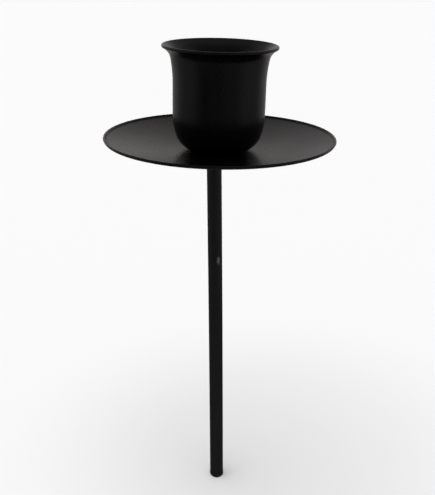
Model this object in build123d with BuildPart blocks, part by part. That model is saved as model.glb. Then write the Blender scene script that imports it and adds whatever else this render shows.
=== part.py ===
from build123d import *
import os
from math import cos, radians, sin

# Candle stand on a spike, in millimetres: a taper candle's cup on a dished drip plate, on a spike that is pricked
# into a wreath. The origin is the centre of the plate's underside, which stops on the wreath, and +Z is up.

# Candle cup, drawn from sheet steel, its arcs given on the outside
candle_r = 11.0             # household taper candle, 22 mm across
candle_clearance = 0.1
cup_sheet = 0.7             # with its coat
bottom_round = 6.1          # from the flat floor up into the flank
flank_round = 10.4          # from the flank up into the straight wall
flank_turn = 31.3           # degrees that the flank turns through
wall_height = 8.6           # straight wall, which guides the candle
flare_round = 42.0          # slow flare above the straight wall
flare_turn = 9.8
lip_round = 3.3             # quick flare at the lip
lip_turn = 61.0
lip_edge_round = 0.3

# Drip plate, pressed from thinner sheet
plate_sheet = 0.5           # with its coat
plate_r = 30.0
plate_depth = 3.8           # rise of the dish from its flat centre to the rim
dish_round = 150.0          # hollow curve of the dish from the flat centre to the rim
seat_margin = 0.8           # flat centre beyond the cup's floor
rim_edge_round = 0.2

# Spike, a cut wire that was welded on a little off the middle and a little out of true
wire_r = 1.95
spike_length = 102.6        # along the wire, from the plate's underside to the tip
spike_offset = -1.29        # along X at the plate's underside
spike_lean = 1.2            # degrees, with the tip towards +X
spike_end_taper = 12.0      # degrees, where the weld melted the edge off the wire's upper end
snip_left_edge = -0.2       # the blunt edge left between the two cuts of the side cutters
snip_right_edge = 0.25
snip_left_angle = 74.0      # degrees between each cut and the wire
snip_right_angle = 79.0

# Weld, which fills the plate's hole and stands out below it round the wire
weld_r = 3.6
weld_drop = 1.6             # how far it runs down the wire
weld_toe = 0.25             # its thickness where it ends on the wire
weld_undercut = 0.3         # how far below the weld the wire's end starts to narrow

overrun = 2.0               # how far a blank runs past the cut that trims it

neck_depth = weld_drop + weld_undercut
cup_r = candle_r + candle_clearance + cup_sheet
floor_r = cup_r - flank_round + (flank_round - bottom_round) * cos(radians(flank_turn))
seat_r = floor_r + seat_margin

os.makedirs("parts", exist_ok=True)

# Cup: its outer line is drawn from the axis outwards and up, and the sheet lies on the inner side of it
with BuildPart() as candle_cup:
    with BuildSketch(Plane.XZ):
        with BuildLine():
            floor_line = Line((0, plate_sheet), (floor_r, plate_sheet))
            bottom_arc = JernArc(floor_line @ 1, floor_line % 1, bottom_round, 90 - flank_turn)
            flank_arc = JernArc(bottom_arc @ 1, bottom_arc % 1, flank_round, flank_turn)
            wall_line = PolarLine(flank_arc @ 1, wall_height, direction=flank_arc % 1)
            flare_arc = JernArc(wall_line @ 1, wall_line % 1, flare_round, -flare_turn)
            JernArc(flare_arc @ 1, flare_arc % 1, lip_round, -lip_turn)
            offset(amount=cup_sheet, side=Side.LEFT)
        make_face()
    revolve(axis=Axis.Z)
    fillet(candle_cup.edges().filter_by(GeomType.CIRCLE).sort_by(Axis.Z)[-2:], lip_edge_round)

# Plate: its underside is drawn from the weld hole to the rim, and the sheet lies above it
with BuildPart() as drip_plate:
    with BuildSketch(Plane.XZ):
        with BuildLine():
            seat_line = Line((weld_r, 0), (seat_r, 0))
            RadiusArc(seat_line @ 1, (plate_r, plate_depth), -dish_round)
            offset(amount=plate_sheet, side=Side.LEFT)
        make_face()
    revolve(axis=Axis.Z)
    fillet(drip_plate.edges().filter_by(GeomType.CIRCLE).sort_by(Axis.Z)[-2:], rim_edge_round)

# Spike: its root plane faces along the wire, towards the tip
lean = radians(spike_lean)
spike_root = Plane(origin=(spike_offset, 0, 0), x_dir=(cos(lean), 0, sin(lean)), z_dir=(sin(lean), 0, -cos(lean)))
spike_end = Plane(origin=spike_root.offset(spike_length).origin, x_dir=spike_root.x_dir, z_dir=(0, -1, 0))

with BuildPart() as spike:
    with BuildSketch(spike_root.offset(neck_depth)):
        Circle(wire_r)
    extrude(amount=spike_length - neck_depth)
    # the wire's upper end narrows in the weld and meets the floor of the cup, through the plate
    with BuildSketch(-spike_root.offset(neck_depth)):
        Circle(wire_r)
    extrude(amount=neck_depth + overrun, taper=spike_end_taper)
    split(bisect_by=Plane.XY.offset(plate_sheet), keep=Keep.BOTTOM)
    # each jaw of the side cutters leaves a slanting flat
    for edge, angle, side in ((snip_left_edge, snip_left_angle, -1), (snip_right_edge, snip_right_angle, 1)):
        tilt = radians(angle)
        facing = spike_end.x_dir * (side * cos(tilt)) - spike_end.y_dir * sin(tilt)
        split(bisect_by=Plane(origin=spike_end.from_local_coords((edge, 0, 0)), z_dir=facing), keep=Keep.BOTTOM)

# Weld: a plug in the plate's hole and a skewed collar from the hole's edge to the wire
weld_foot = spike_root.from_local_coords((0, 0, weld_drop))

with BuildPart() as spike_weld:
    with BuildSketch():
        Circle(weld_r)
    extrude(amount=plate_sheet)
    with BuildSketch():
        Circle(weld_r)
    with BuildSketch(Plane(origin=weld_foot)):
        Circle(wire_r + weld_toe)
    loft()
    add(spike.part, mode=Mode.SUBTRACT)

candle_cup.part.label = "candle_cup"
export_step(candle_cup.part, "parts/candle_cup.step")

drip_plate.part.label = "drip_plate"
export_step(drip_plate.part, "parts/drip_plate.step")

spike.part.label = "spike"
export_step(spike.part, "parts/spike.step")

spike_weld.part.label = "spike_weld"
export_step(spike_weld.part, "parts/spike_weld.step")

print("cup radius", round(cup_r, 2), "floor radius", round(floor_r, 2), "plate seat radius", round(seat_r, 2))
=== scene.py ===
import math

import bpy
import numpy as np
from mathutils import Matrix, Vector


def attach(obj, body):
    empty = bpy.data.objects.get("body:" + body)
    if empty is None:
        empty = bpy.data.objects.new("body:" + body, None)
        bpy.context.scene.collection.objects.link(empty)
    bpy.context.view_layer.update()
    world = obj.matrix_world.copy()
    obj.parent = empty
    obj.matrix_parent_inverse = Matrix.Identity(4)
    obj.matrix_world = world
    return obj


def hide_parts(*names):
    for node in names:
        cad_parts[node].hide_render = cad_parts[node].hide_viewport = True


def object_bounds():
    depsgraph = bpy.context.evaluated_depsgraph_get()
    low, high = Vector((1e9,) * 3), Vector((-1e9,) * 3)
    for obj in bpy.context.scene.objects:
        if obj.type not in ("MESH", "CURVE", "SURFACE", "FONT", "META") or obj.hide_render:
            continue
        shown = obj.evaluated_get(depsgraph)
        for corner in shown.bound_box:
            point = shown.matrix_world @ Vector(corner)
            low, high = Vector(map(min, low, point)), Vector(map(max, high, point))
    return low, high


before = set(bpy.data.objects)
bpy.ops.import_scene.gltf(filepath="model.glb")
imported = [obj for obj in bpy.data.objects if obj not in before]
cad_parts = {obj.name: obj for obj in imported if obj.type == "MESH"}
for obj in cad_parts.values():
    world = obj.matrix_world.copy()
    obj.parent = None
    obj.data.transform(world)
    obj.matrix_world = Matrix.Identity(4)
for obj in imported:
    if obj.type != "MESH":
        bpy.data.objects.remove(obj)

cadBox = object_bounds()
millimetre = 0.001

# camera
cameraLook = {
    "distance": 0.2007,  # in front of the stand's axis
    "height": 0.0517,  # above the plate's underside
    "pitchDown": 21.44,  # degrees
    "roll": 0.92,  # degrees, the picture's right side a little low
    "lens": 56.87,
    "sensor": 36.0,
    "clipStart": 0.005,
}

cameraData = bpy.data.cameras.new("standCamera")
cameraData.lens = cameraLook["lens"]
cameraData.sensor_width = cameraLook["sensor"]
cameraData.clip_start = cameraLook["clipStart"]
camera = bpy.data.objects.new("standCamera", cameraData)
camera.matrix_world = (
    Matrix.Translation((0, -cameraLook["distance"], cameraLook["height"]))
    @ Matrix.Rotation(math.radians(90 - cameraLook["pitchDown"]), 4, "X")
    @ Matrix.Rotation(math.radians(cameraLook["roll"]), 4, "Z")
)
bpy.context.scene.collection.objects.link(camera)
bpy.context.scene.camera = camera
bpy.context.scene.view_settings.view_transform = "Standard"
print("camera ready")


# node helper
class Link:
    # a socket of a node tree that takes part in ordinary arithmetic; each sign adds one Math node
    def __init__(self, tree, socket=None):
        self.tree = tree
        self.socket = socket

    def node(self, kind, settings, sockets, output=0):
        made = self.tree.nodes.new(kind)
        for name, value in settings.items():
            setattr(made, name, value)
        for name, value in sockets.items():
            if isinstance(value, Link):
                self.tree.links.new(value.socket, made.inputs[name])
            else:
                made.inputs[name].default_value = value
        return Link(self.tree, made.outputs[output] if len(made.outputs) else None)

    def maths(self, operation, first, second):
        return self.node("ShaderNodeMath", {"operation": operation}, {0: first, 1: second})

    def __add__(self, other):
        return self.maths("ADD", self, other)

    def __radd__(self, other):
        return self.maths("ADD", other, self)

    def __sub__(self, other):
        return self.maths("SUBTRACT", self, other)

    def __rsub__(self, other):
        return self.maths("SUBTRACT", other, self)

    def __mul__(self, other):
        return self.maths("MULTIPLY", self, other)

    def __rmul__(self, other):
        return self.maths("MULTIPLY", other, self)

    def largest(self, other):
        return self.maths("MAXIMUM", self, other)

    def steps(self, low, high):
        # rises smoothly from 0 at low to 1 at high
        return self.node(
            "ShaderNodeMapRange", {"interpolation_type": "SMOOTHSTEP"},
            {"Value": self, "From Min": low, "From Max": high},
        )

    def distanceTo(self, point):
        return self.node("ShaderNodeVectorMath", {"operation": "DISTANCE"}, {0: self, 1: point}, "Value")

    def noise(self, size, detail=2.0, rough=0.5):
        # 0 to 1, about 0.5 on average, in blotches of about this many mm
        return self.node(
            "ShaderNodeTexNoise", {},
            {"Vector": self, "Scale": 1000 / size, "Detail": detail, "Roughness": rough}, "Fac",
        )

    def blendWith(self, colourA, colourB):
        # this value fades from the first colour to the second, the Mix node's sockets 6 and 7
        return self.node("ShaderNodeMix", {"data_type": "RGBA"}, {"Factor": self, 6: colourA, 7: colourB}, 2)


# mesh helpers
def meshPiece(name, points, quads, triangles):
    # plain arrays of corners go straight into the mesh
    corners = np.concatenate([quads.ravel(), triangles.ravel()]).astype(np.int32)
    counts = np.concatenate([np.full(len(quads), 4), np.full(len(triangles), 3)]).astype(np.int32)
    mesh = bpy.data.meshes.new(name)
    mesh.vertices.add(len(points))
    mesh.vertices.foreach_set("co", points.astype(np.float32).ravel())
    mesh.loops.add(len(corners))
    mesh.loops.foreach_set("vertex_index", corners)
    mesh.polygons.add(len(counts))
    mesh.polygons.foreach_set("loop_start", (np.cumsum(counts) - counts).astype(np.int32))
    mesh.polygons.foreach_set("use_smooth", np.ones(len(counts), bool))
    mesh.update(calc_edges=True)
    mesh.validate()
    piece = bpy.data.objects.new(name, mesh)
    bpy.context.scene.collection.objects.link(piece)
    return piece


def turnsAround(count):
    # angles once round, in even steps
    return np.linspace(0, 2 * np.pi, count, endpoint=False)


def rings(radius, height, turn, middle=0):
    # level circles: x = middle + radius cos(turn), y = radius sin(turn), z = height
    x, y = middle + radius * np.cos(turn), radius * np.sin(turn)
    return np.stack([x, y, height + 0 * x], axis=-1)


def roundPiece(name, grid, poles=None, shape=None):
    # rows of points that go round the piece, joined by quads; seen in section, outside is on the right of the way
    # that the rows run. They end in a pole each, or with no poles the last row meets the first.
    rows, around = grid.shape[:2]
    vertex = np.arange(rows * around).reshape(rows, around)
    beside = np.roll(vertex, -1, axis=1)
    quads = np.stack([vertex, beside, np.roll(beside, -1, axis=0), np.roll(vertex, -1, axis=0)], axis=-1)
    triangles = np.zeros((0, 3), int)
    points = grid.reshape(-1, 3)
    if poles is not None:
        quads = quads[:-1]
        first, last = np.full(around, len(points)), np.full(around, len(points) + 1)
        points = np.vstack([points, poles])
        triangles = np.vstack([
            np.stack([beside[0], vertex[0], first], axis=-1),
            np.stack([vertex[-1], beside[-1], last], axis=-1),
        ])
    if shape is not None:
        points = shape(points)
    return meshPiece(name, points * millimetre, quads.reshape(-1, 4), triangles)


def revolvedShell(name, radius, height, around, shape=None):
    # a section turned about Z: x = radius cos(turn), y = radius sin(turn), z = height. It runs from the axis back to
    # the axis, or from its start back to its start.
    onAxis = radius[0] == 0 and radius[-1] == 0
    inner = slice(1, -1) if onAxis else slice(None)
    grid = rings(radius[inner, None], height[inner, None], turnsAround(around))
    poles = [[0, 0, height[0]], [0, 0, height[-1]]] if onAxis else None
    return roundPiece(name, grid, poles, shape)


def bentLine(start, lengths, headings, longestStep=0.6, widestTurn=2.0):
    # the heading runs evenly between the given ones over each length, in steps held to these mm and degrees, and the
    # line is the sum of its steps: across = sum cos(heading) ds, up = sum sin(heading) ds
    knots = np.concatenate([[0], np.cumsum(lengths)])
    bends = np.abs(np.diff(headings))
    counts = np.ceil(np.maximum(np.array(lengths) / longestStep, bends / widestTurn)).astype(int)
    spans = zip(knots[:-1], knots[1:], counts)
    along = np.concatenate([[0], *(np.linspace(low, high, count + 1)[1:] for low, high, count in spans)])
    heading = np.radians(np.interp(along, knots, headings))
    middle = (heading[1:] + heading[:-1]) / 2
    step = np.diff(along)
    across = start[0] + np.concatenate([[0], np.cumsum(np.cos(middle) * step)])
    up = start[1] + np.concatenate([[0], np.cumsum(np.sin(middle) * step)])
    return along, heading, across, up


def nearEdge(along, length):
    # 0 along the sheet, rising evenly to 1 over this length before its far edge
    return np.clip(1 - (along[-1] - along) / length, 0, 1)


def sheetSection(heading, across, up, thick, edgeSteps, roundStart=False):
    # the sheet lies on the left of its outer line: inner = outer + thick * left, with a half circle from one to the
    # other at the far edge, and at the start too where that is asked for
    left = np.stack([-np.sin(heading), np.cos(heading)], axis=-1)
    outer = np.stack([across, up], axis=-1)
    inner = outer + left * thick[:, None]
    swing = np.linspace(0, np.pi, edgeSteps + 2)[1:-1, None]

    def edge(place, way):
        middle, half = (outer[place] + inner[place]) / 2, thick[place] / 2
        ahead = np.array([np.cos(heading[place]), np.sin(heading[place])]) * way
        return middle + half * (ahead * np.sin(swing) - way * left[place] * np.cos(swing))

    parts = [outer, edge(-1, 1), inner[::-1]]
    if roundStart:
        parts.append(edge(0, -1))
    section = np.vstack(parts)
    return section[:, 0], section[:, 1]


# satin black coat
coatLook = {
    "black": (0.0012, 0.0011, 0.0011, 1.0),
    "wireBlack": (0.0066, 0.0063, 0.0061, 1.0),  # the wire's coat is thinner and greyer
    "dusty": (0.0042, 0.0038, 0.0035, 1.0),
    "bare": (0.085, 0.080, 0.074, 1.0),
    "roughness": 0.28,
    "peelSize": 0.9,  # mm across one ripple of the powder
    "peelDepth": 0.010,  # mm
    "peelRoughness": 0.06,  # how far the ripples vary the roughness
    "grainSize": 0.28,
    "grainDepth": 0.0022,
    "cloudSize": 14,  # soft clouds of dust
    "cloudFade": (0.35, 0.75),
    "cloudDust": 0.25,
    "cloudRoughness": 0.10,
    "speckSize": 0.7,
    "speckFade": (0.70, 0.78),
    "speckClouds": (0.45, 0.60),  # the specks lie in the dustier clouds
    "speckDust": 0.6,
    "speckRoughness": 0.12,
    "chipFade": (0.35, 0.62),  # where a chip's edge begins and ends, as shares of its width
    "chipRagged": 0.5,
    "chipGrain": 0.5,  # mm
    "chipRoughness": 0.06,
    "chipDepth": 0.03,  # mm
}


def blackCoat(name, black="black", peel=1.0, roughness=None, chips=()):
    # black powder, cured satin: soft ripples and a fine grain in the surface, a little dust, small worn flecks
    look = coatLook
    material = bpy.data.materials.new(name)
    material.use_nodes = True
    tree = material.node_tree
    tree.nodes.clear()
    maker = Link(tree)
    place = maker.node("ShaderNodeTexCoord", {}, {}, "Object")
    ripple = place.noise(look["peelSize"], 1.5)
    grain = place.noise(look["grainSize"])
    cloud = place.noise(look["cloudSize"], 3.0, 0.6)
    speck = place.noise(look["speckSize"], 1.0).steps(*look["speckFade"]) * cloud.steps(*look["speckClouds"])
    dust = speck * look["speckDust"] + cloud.steps(*look["cloudFade"]) * look["cloudDust"]
    colour = dust.blendWith(look[black], look["dusty"])
    rough = (roughness or look["roughness"]) + (cloud - 0.5) * look["cloudRoughness"]
    rough = rough + (ripple - 0.5) * look["peelRoughness"] + speck * look["speckRoughness"]
    height = ripple * (look["peelDepth"] * peel) + grain * look["grainDepth"]
    for centre, across, tall in chips:
        # an oval, by distance from its middle once its height is drawn in to its width
        squeeze = across / tall
        drawnIn = place.node(
            "ShaderNodeMapping", {"vector_type": "POINT"}, {"Vector": place, "Scale": (1.0, 1.0, squeeze)}
        )
        spread = drawnIn.distanceTo((centre[0], centre[1], centre[2] * squeeze))
        ragged = spread + (place.noise(look["chipGrain"], 3.0) - 0.5) * (look["chipRagged"] * across)
        fadeFrom, fadeTo = look["chipFade"]
        worn = 1 - ragged.steps(across * fadeFrom, across * fadeTo)
        colour = worn.blendWith(colour, look["bare"])
        rough = rough + worn * look["chipRoughness"]
        height = height - worn * look["chipDepth"]
    bump = maker.node("ShaderNodeBump", {}, {"Strength": 1.0, "Distance": millimetre, "Height": height})
    shader = maker.node(
        "ShaderNodeBsdfPrincipled", {},
        {"Base Color": colour, "Roughness": rough, "Normal": bump, "IOR": 1.5},
    )
    maker.node("ShaderNodeOutputMaterial", {}, {"Surface": shader})
    return material


# candle cup
cupLook = {
    "floorHeight": 0.5,
    # the outer line from the axis: how long each stretch is in mm, and where it heads at its ends in degrees
    "lengths": (5.275, 7.40, 4.45, 2.0, 6.98, 6.35, 3.4),
    "headings": (0, 0, 69.3, 87.5, 90, 90, 79.14, 25),
    "sheet": 0.7,
    "lipSheet": 0.84,  # the coat gathers at the lip
    "lipLength": 0.9,
    "edgeSteps": 11,
    "lean": 0.45,  # degrees towards +X
    "leanFrom": 4,  # mm over which the lean takes hold above the floor
    "offCentre": -0.30,
    "outOfRound": 0.0025,  # share of the radius, reached at this height
    "outOfRoundHeight": 20,
    "outOfRoundTurn": 0.8,
    "around": 208,
}


def cupShape(points):
    # a pressed cup is a touch oval, radius (1 + share cos(2 turn)), and it was welded on a little off the middle and
    # a little out of true: x = x + up sin(lean) + offCentre, z = z - x sin(lean)
    look = cupLook
    x, y, z = points.T
    oval = look["outOfRound"] * np.cos(2 * np.arctan2(y, x) + look["outOfRoundTurn"])
    swell = 1 + oval * np.clip(z / look["outOfRoundHeight"], 0, 1)
    x, y = x * swell, y * swell
    up = z - look["floorHeight"]
    lean = math.sin(math.radians(look["lean"]))
    tilted = z - x * lean * np.clip(up / look["leanFrom"], 0, 1)
    return np.stack([x + up * lean + look["offCentre"], y, tilted], axis=-1)


along, heading, across, up = bentLine((0, cupLook["floorHeight"]), cupLook["lengths"], cupLook["headings"])
gathered = (cupLook["lipSheet"] - cupLook["sheet"]) * nearEdge(along, cupLook["lipLength"]) ** 2
radius, height = sheetSection(heading, across, up, cupLook["sheet"] + gathered, cupLook["edgeSteps"])
candleCup = revolvedShell("candleCup", radius, height, cupLook["around"], cupShape)
candleCup.data.materials.append(blackCoat("cupCoat"))
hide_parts("candle_cup")
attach(candleCup, "root")
print("candle cup ready")

# drip plate
plateLook = {
    "holeRadius": 3.6,
    "lengths": (2.1, 1.4, 22.68, 0.3, 0.38),
    "headings": (0, 0, 4.4, 12.6, 58, 64),
    "sheet": 0.5,
    "rimSheet": 0.52,
    "rimLength": 1.0,
    "edgeSteps": 9,
    "reach": 30,
    "oval": 0.010,
    "offCentre": 0.12,  # of the rim
    "waves": ((2, 0.05, 0.6), (3, 0.03, -1.1)),  # how many round the rim, how high in mm, and where
    "around": 288,
}


def plateShape(points):
    # the pressing is a touch oval, x = x + (oval x + offCentre) out^2, and not quite flat: it rises and falls by
    # waves round it, height cos(count turn + phase), times out^3, where out is the share of its reach
    x, y, z = points.T
    turn, out = np.arctan2(y, x), np.hypot(x, y) / plateLook["reach"]
    across = x + (plateLook["oval"] * x + plateLook["offCentre"]) * out ** 2
    wave = sum(height * np.cos(count * turn + phase) for count, height, phase in plateLook["waves"])
    return np.stack([across, y, z + wave * out ** 3], axis=-1)


along, heading, across, up = bentLine((plateLook["holeRadius"], 0), plateLook["lengths"], plateLook["headings"])
thick = plateLook["sheet"] + (plateLook["rimSheet"] - plateLook["sheet"]) * nearEdge(along, plateLook["rimLength"])
radius, height = sheetSection(heading, across, up, thick, plateLook["edgeSteps"], roundStart=True)
print("plate rim reaches", round(radius.max(), 3), "and", round(height.max(), 3))
dripPlate = revolvedShell("dripPlate", radius, height, plateLook["around"], plateShape)
dripPlate.data.materials.append(blackCoat("plateCoat"))
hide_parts("drip_plate")
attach(dripPlate, "root")
print("drip plate ready")

# spike
spikeLook = {
    "radius": 1.98,  # with the coat on it
    "length": 102.6,
    "offset": -1.31,
    "lean": 1.2,
    "top": -0.45,  # the wire's upper end is hidden in the weld
    "bow": 0.07,
    "snipLeftEdge": -0.2,
    "snipRightEdge": 0.25,
    "snipLeftAngle": 74.0,
    "snipRightAngle": 79.0,
    "squeeze": 0.06,  # the cutters spread the wire beside the cut
    "squeezeLength": 1.1,
    "squeezeFlat": 0.35,  # and a little less from front to back
    "around": 72,
    "rows": (90, 60),  # above and below the share of its length where finer rows begin
    "fineFrom": 0.94,
    "endRings": 34,
    "roughness": 0.42,
    "chip": ((0.00032, -0.00169, -0.0303), 0.0010, 0.0024),  # where in metres, how wide and how tall
}


def leaning(points):
    # the wire turned about Y: x = offset + x cos(lean) - z sin(lean), z = x sin(lean) + z cos(lean)
    lean = math.radians(spikeLook["lean"])
    x, y, z = points.T
    across = spikeLook["offset"] + x * math.cos(lean) - z * math.sin(lean)
    return np.stack([across, y, x * math.sin(lean) + z * math.cos(lean)], axis=-1)


def spikePiece():
    # rows run down the wire: point = (radius cos turn, radius sin turn, -down), and at the tip down stops at the
    # nearer of the two cuts: length - max((left edge - x) / tan left, (x - right edge) / tan right, 0)
    look = spikeLook
    turn = turnsAround(look["around"])
    coarse, fine = look["rows"]
    upper, lower = np.linspace(0, look["fineFrom"], coarse), np.linspace(look["fineFrom"], 1, fine)[1:]
    rows = np.concatenate([upper, lower])[:, None]
    inward = np.linspace(1, 0, look["endRings"])[1:-1, None]
    share = np.concatenate([rows * 0 + 1, inward])
    run = np.concatenate([rows, inward * 0 + 1])
    across, deep = look["radius"] * share * np.cos(turn), look["radius"] * share * np.sin(turn)

    def tipAt(across):
        left = (look["snipLeftEdge"] - across) / math.tan(math.radians(look["snipLeftAngle"]))
        right = (across - look["snipRightEdge"]) / math.tan(math.radians(look["snipRightAngle"]))
        return look["length"] - np.maximum(np.maximum(left, right), 0)

    down = look["top"] + (tipAt(across) - look["top"]) * run
    # radius grows by squeeze exp(-distance^2 / 2 squeezeLength^2) towards the tip
    near = np.exp(-(look["length"] - down) ** 2 / (2 * look["squeezeLength"] ** 2))
    spread = 1 + look["squeeze"] / look["radius"] * near * (1 - look["squeezeFlat"] * np.sin(turn) ** 2)
    across, deep = across * spread, deep * spread
    across = across + look["bow"] * np.sin(np.pi * np.clip(down / look["length"], 0, 1))
    grid = np.stack([across, deep, -down], axis=-1)
    poles = [[0, 0, -tipAt(0)], [0, 0, -look["top"]]]
    return roundPiece("spikeWire", grid[::-1], poles, leaning)


spikeWire = spikePiece()
spikeWire.data.materials.append(
    blackCoat("spikeCoat", black="wireBlack", roughness=spikeLook["roughness"], chips=[spikeLook["chip"]])
)
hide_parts("spike")
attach(spikeWire, "root")
print("spike ready")

# weld
weldLook = {
    "radius": 3.6,
    "top": 0.42,
    "drop": 1.6,
    "toe": 0.25,
    "hollow": 0.12,  # how far the foot rises inside, where the wire hides it
    "fullness": 1.5,
    "rippleDepth": 0.06,
    "ripples": 14,
    "crescent": 9,  # how far each ripple bends
    "unevenness": (3, 0.7),  # waves round the bead that draw the ripples together, and by how much
    "around": 120,
    "rows": (8, 26, 6),  # on the top, down the bead and under it
    "peel": 1.6,
    "roughness": 0.46,
}


def weldPiece():
    # a full bead from the hole's edge down to the wire: radius = toe + (plug - toe) (1 - skirt^fullness), and its
    # foot follows the wire's slant; the ripples are waves round it, bent to crescents, that fade at both ends
    look = weldLook
    turn = turnsAround(look["around"])
    topRows, beadRows, footRows = look["rows"]
    outward = np.linspace(0, 1, topRows)[1:, None]
    skirt = np.linspace(0, 1, beadRows)[:, None]
    inward = np.linspace(1, 0, footRows)[1:-1, None]
    toe = spikeLook["radius"] + look["toe"]
    lean = math.radians(spikeLook["lean"])
    count, amount = look["unevenness"]
    phase = look["ripples"] * turn + look["crescent"] * (skirt - 0.5) ** 2 + amount * np.sin(count * turn)
    ripple = look["rippleDepth"] * np.sin(phase) * np.sin(np.pi * skirt)
    r = toe + (look["radius"] - toe) * (1 - skirt ** look["fullness"]) + ripple
    shift = spikeLook["offset"] * skirt + look["drop"] * math.sin(lean) * skirt
    grid = np.concatenate([
        rings(look["radius"] * outward, look["top"], turn),
        rings(r, -look["drop"] * skirt, turn, shift),
        rings(toe * inward, look["hollow"] * (1 - inward) - look["drop"], turn, shift[-1]),
    ])
    poles = [[shift[-1, 0], 0, look["hollow"] - look["drop"]], [0, 0, look["top"]]]
    return roundPiece("weldBead", grid[::-1], poles)


weldBead = weldPiece()
weldBead.data.materials.append(blackCoat("weldCoat", peel=weldLook["peel"], roughness=weldLook["roughness"]))
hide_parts("spike_weld")
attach(weldBead, "root")
print("weld ready")

# floor and light
studioLook = {
    "floorRadius": 12.0,
    "floorAround": 96,
    "floorColour": (0.97, 0.97, 0.97, 1.0),
    "floorRoughness": 0.9,
    "worldStrength": 0.48,
    "backdropStrength": 0.96,  # what the camera and reflections see beyond the floor
    "skylightStrength": 1.65,
    "skylightWidth": 60,  # degrees
    "skylightTilt": (8, -10),  # degrees about X and Y
    "cardRadius": 1100,  # mm
    "cardGap": 0.3,  # mm above the floor
    "cardRows": 40,
    "cardAround": 64,
    "cardDim": 0.006,
    "leftTint": (1.03, 1.0, 0.94, 1.0),
    "rightTint": (1.075, 1.0, 1.035, 1.0),
    "sideFade": (-0.5, 0.5),  # cosines between which one tint passes into the other
    "backFade": (0.2, 0.7),
    # soft patches of light on the cards: towards (across, back, up), how bright in the middle, and the cosine of
    # the angle at which it has faded out
    "patches": (
        ((0, 1, 0), 0.28, 0.8),
        ((0, 1, 0.36), 0.115, 0.85),
        ((-0.3, 1, 0.25), 0.125, 0.93),
        ((-0.6, 0.8, 0), 0.225, 0.8),
        ((0.6, 0.8, 0), 0.25, 0.8),
        ((-0.6, 0.7, 0.6), 0.155, 0.8),
        ((0.6, 0.7, 0.6), 0.17, 0.8),
        ((-1, 0, -0.1), 0.15, 0.6),
        ((1, 0, -0.1), 0.146, 0.6),
        ((-0.8, 0, 0.6), 0.12, 0.7),
        ((0.8, 0, 0.6), 0.13, 0.7),
        ((-0.7, -0.7, -0.2), 0.025, 0.7),
        ((0.7, -0.7, -0.2), 0.07, 0.7),
        ((0, -0.8, 0.6), 0.088, 0.6),
        ((0, 0, 1), 0.17, 0.8),
        ((0, -0.7, -0.7), 0.06, 0.6),
        ((0, 0, -1), 0.08, 0.6),
        ((0, 0.8, -0.6), 0.15, 0.7),
    ),
}


def plainMaterial(name, colour):
    material = bpy.data.materials.new(name)
    material.use_nodes = True
    shader = material.node_tree.nodes["Principled BSDF"]
    shader.inputs["Base Color"].default_value = colour
    shader.inputs["Roughness"].default_value = studioLook["floorRoughness"]
    shader.inputs["Specular IOR Level"].default_value = 0.0
    return material


def floorPiece(lowest):
    # a flat fan: points = (radius cos turn, radius sin turn, lowest) round one point in the middle
    count = studioLook["floorAround"]
    points = np.vstack([rings(studioLook["floorRadius"], lowest, turnsAround(count)), [0, 0, lowest]])
    fan = np.stack([np.arange(count), (np.arange(count) + 1) % count, np.full(count, count)], axis=-1)
    return meshPiece("studioFloor", points, np.zeros((0, 4), int), fan)


lowest = min(corner[2] for corner in cadBox)
studioFloor = floorPiece(lowest)
studioFloor.data.materials.append(plainMaterial("paleFloor", studioLook["floorColour"]))

world = bpy.data.worlds.new("paleRoom")
world.use_nodes = True
world.node_tree.nodes.clear()
worldMaker = Link(world.node_tree)


def isRay(kind):
    # 1 where a ray of this kind meets the world, else 0
    return worldMaker.node("ShaderNodeLightPath", {}, {}, "Is " + kind + " Ray")


seen = isRay("Camera").largest(isRay("Glossy")).largest(isRay("Transmission"))
soft, backdrop = studioLook["worldStrength"], studioLook["backdropStrength"]
sky = worldMaker.node(
    "ShaderNodeBackground", {}, {"Color": (1.0, 1.0, 1.0, 1.0), "Strength": soft + (backdrop - soft) * seen}
)
worldMaker.node("ShaderNodeOutputWorld", {}, {"Surface": sky})
bpy.context.scene.world = world


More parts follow.
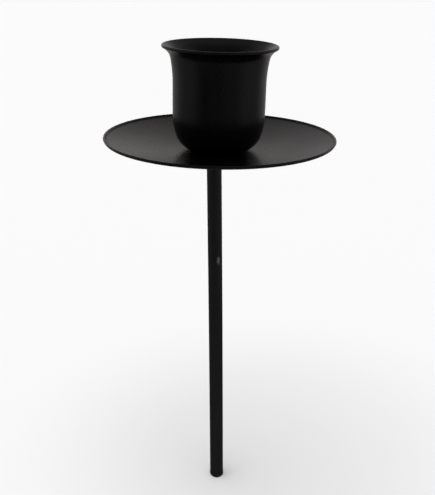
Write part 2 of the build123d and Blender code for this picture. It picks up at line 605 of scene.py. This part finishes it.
def dimCards():
    # dark studio cards closed round the stand, which only reflections see: a sphere cut off just above the floor,
    # point = radius (cos rise cos turn, cos rise sin turn, sin rise)
    look = studioLook
    bottom = lowest / millimetre + look["cardGap"]
    rise = np.linspace(math.asin(bottom / look["cardRadius"]), np.pi / 2, look["cardRows"])
    across = np.concatenate([[0], look["cardRadius"] * np.cos(rise[:-1]), [0]])
    up = np.concatenate([[bottom], look["cardRadius"] * np.sin(rise)])
    cards = revolvedShell("studioCards", across, up, look["cardAround"])
    material = bpy.data.materials.new("studioCards")
    material.use_nodes = True
    tree = material.node_tree
    tree.nodes.clear()
    maker = Link(tree)
    place = maker.node("ShaderNodeTexCoord", {}, {}, "Object")
    way = place.node("ShaderNodeVectorMath", {"operation": "NORMALIZE"}, {0: place})

    def facing(side):
        # the cosine of the angle between a card's direction and this one
        aim = tuple(Vector(side).normalized())
        return way.node("ShaderNodeVectorMath", {"operation": "DOT_PRODUCT"}, {0: way, 1: aim}, "Value")

    light = look["cardDim"]
    for side, bright, fade in look["patches"]:
        light = light + bright * facing(side).steps(fade, 1.0)
    # behind the stand the cards are a touch warm on the left and a touch pink on the right
    behind = facing((1, 0, 0)).steps(*look["sideFade"]).blendWith(look["leftTint"], look["rightTint"])
    tint = facing((0, 1, 0)).steps(*look["backFade"]).blendWith((1.0, 1.0, 1.0, 1.0), behind)
    glow = maker.node("ShaderNodeEmission", {}, {"Color": tint, "Strength": light})
    maker.node("ShaderNodeOutputMaterial", {}, {"Surface": glow})
    cards.data.materials.append(material)
    for ray in ("camera", "diffuse", "transmission", "volume_scatter", "shadow"):
        setattr(cards, "visible_" + ray, False)
    return cards


studioCards = dimCards()

skylightData = bpy.data.lights.new("skylight", "SUN")
skylightData.energy = studioLook["skylightStrength"]
skylightData.angle = math.radians(studioLook["skylightWidth"])
skylight = bpy.data.objects.new("skylight", skylightData)
aboutX, aboutY = (math.radians(tilt) for tilt in studioLook["skylightTilt"])
skylight.rotation_euler = (aboutX, aboutY, 0)
skylight.visible_glossy = False
bpy.context.scene.collection.objects.link(skylight)
print("floor and light ready")
